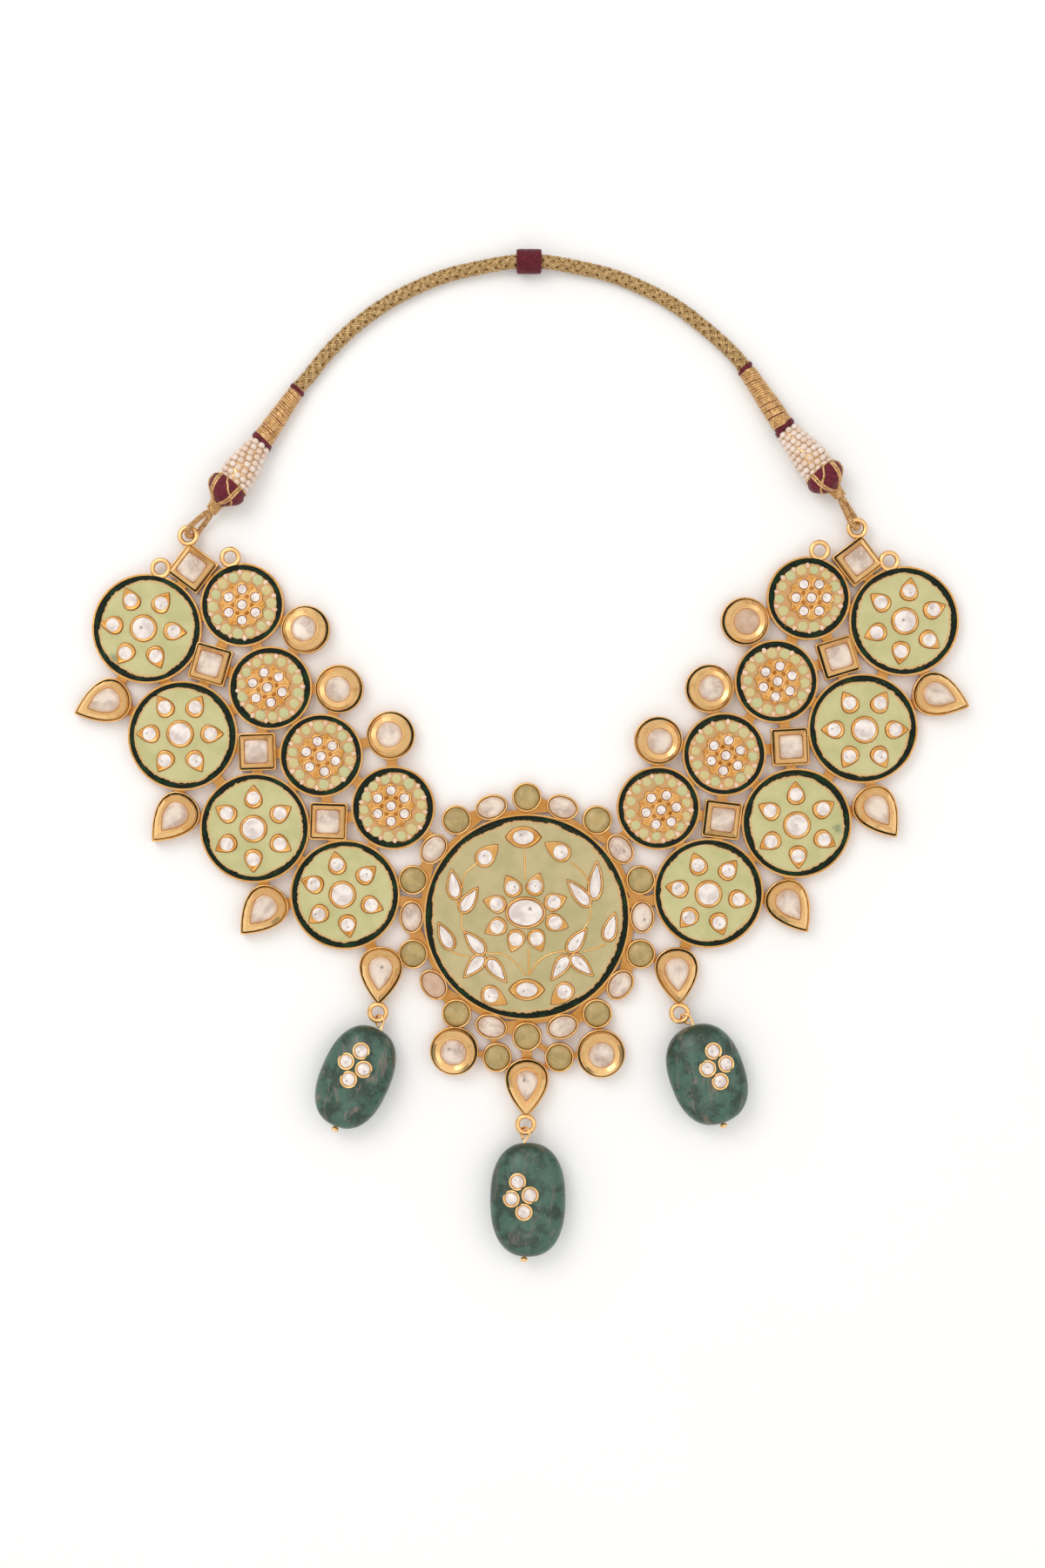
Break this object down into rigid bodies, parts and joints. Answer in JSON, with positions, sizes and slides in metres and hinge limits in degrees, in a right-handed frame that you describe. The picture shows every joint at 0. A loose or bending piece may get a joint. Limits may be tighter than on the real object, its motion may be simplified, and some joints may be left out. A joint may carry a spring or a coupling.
{
  "type": "kundan necklace",
  "caption": "Stone-set collar necklace of enamelled gold discs round a medallion, with green bead drops and a pearl and gold neck cord.",
  "frame": {"origin": "middle of the medallion's back, on the surface that the necklace lies on", "axes": "+Z out of the face, +Y towards the back of the neck, +X to the right as seen from the front"},
  "size_m": [0.2055, 0.2329, 0.0106],
  "materials": {
    "gold": "satin",
    "olive_enamel": "gloss",
    "pistachio_enamel": "gloss",
    "blush_enamel": "gloss",
    "dark_enamel": "gloss",
    "clear_stone": "gloss",
    "olive_stone": "satin",
    "teal_stone": "polished",
    "pearl": "gloss",
    "maroon_thread": "satin",
    "gold_thread": "satin"
  },
  "bodies": {
    "root": {"collar_frame": "gold", "medallion_enamel": "olive_enamel", "medallion_border": "dark_enamel", "left_large_enamels": "pistachio_enamel", "right_large_enamels": "pistachio_enamel", "left_small_enamels": "blush_enamel", "right_small_enamels": "blush_enamel", "left_large_borders": "dark_enamel", "right_large_borders": "dark_enamel", "left_small_borders": "dark_enamel", "right_small_borders": "dark_enamel", "medallion_centre_stone": "clear_stone", "flower_stones": "clear_stone", "leaf_stones": "clear_stone", "edge_stones": "clear_stone", "halo_ovals": "clear_stone", "halo_cabochons": "olive_stone", "left_large_stones": "clear_stone", "right_large_stones": "clear_stone", "left_small_stones": "clear_stone", "right_small_stones": "clear_stone", "left_square_stones": "clear_stone", "right_square_stones": "clear_stone", "left_round_stone_1": "clear_stone", "left_round_stone_2": "clear_stone", "left_round_stone_3": "clear_stone", "left_round_stone_4": "clear_stone", "right_round_stone_1": "clear_stone", "right_round_stone_2": "clear_stone", "right_round_stone_3": "clear_stone", "right_round_stone_4": "clear_stone", "left_pear_stone_1": "clear_stone", "left_pear_stone_2": "clear_stone", "left_pear_stone_3": "clear_stone", "left_drop_stone": "clear_stone", "right_pear_stone_1": "clear_stone", "right_pear_stone_2": "clear_stone", "right_pear_stone_3": "clear_stone", "right_drop_stone": "clear_stone", "centre_drop_stone": "clear_stone", "left_bead": "teal_stone", "centre_bead": "teal_stone", "right_bead": "teal_stone", "left_pin": "gold", "centre_pin": "gold", "right_pin": "gold", "bead_studs": "gold", "left_cord_loop": "gold_thread", "left_knot_cap": "maroon_thread", "left_pearl_sleeve": "pearl", "left_wound_sleeve": "gold_thread", "right_cord_loop": "gold_thread", "right_knot_cap": "maroon_thread", "right_pearl_sleeve": "pearl", "right_wound_sleeve": "gold_thread", "neck_cord": "gold_thread", "cord_slide": "maroon_thread"}
  },
  "joints": []
}
